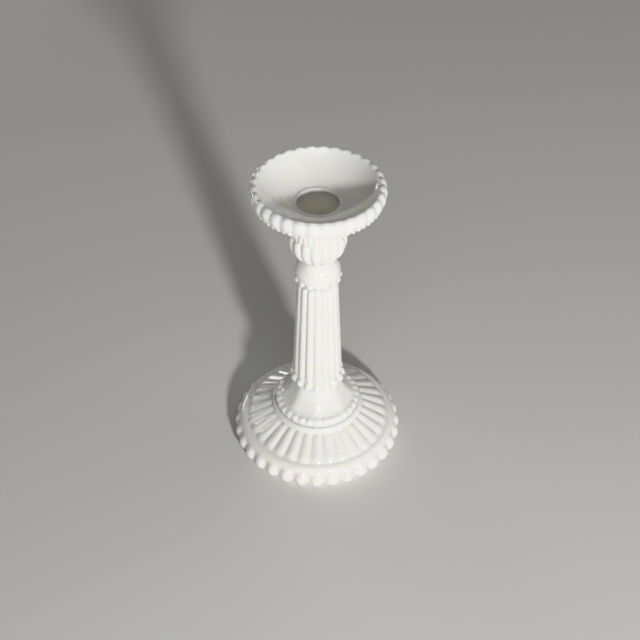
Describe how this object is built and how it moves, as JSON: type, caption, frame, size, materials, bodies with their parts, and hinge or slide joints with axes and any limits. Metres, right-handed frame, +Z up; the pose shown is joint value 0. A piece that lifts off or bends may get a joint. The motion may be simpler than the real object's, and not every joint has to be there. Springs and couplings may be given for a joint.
{
  "type": "glass candlestick",
  "caption": "Upright milk-glass candlestick: beaded hollow foot, eight-sided collar, ribbed column, round knop, gadrooned candle cup and a beaded drip pan with a socket for a taper candle.",
  "frame": {"origin": "centre of the ring that the foot stands on, at table height", "axes": "+Z up along the candlestick's axis; -Y faces the viewer, with a rib, a rim bead and a corner of the collar on it"},
  "size_m": [0.102, 0.102, 0.1905],
  "materials": {
    "milk_glass": "glossy opaque white"
  },
  "bodies": {
    "root": {"foot": "milk_glass", "collar": "milk_glass", "column": "milk_glass", "knop": "milk_glass", "candle_cup": "milk_glass", "drip_pan": "milk_glass"}
  },
  "joints": []
}
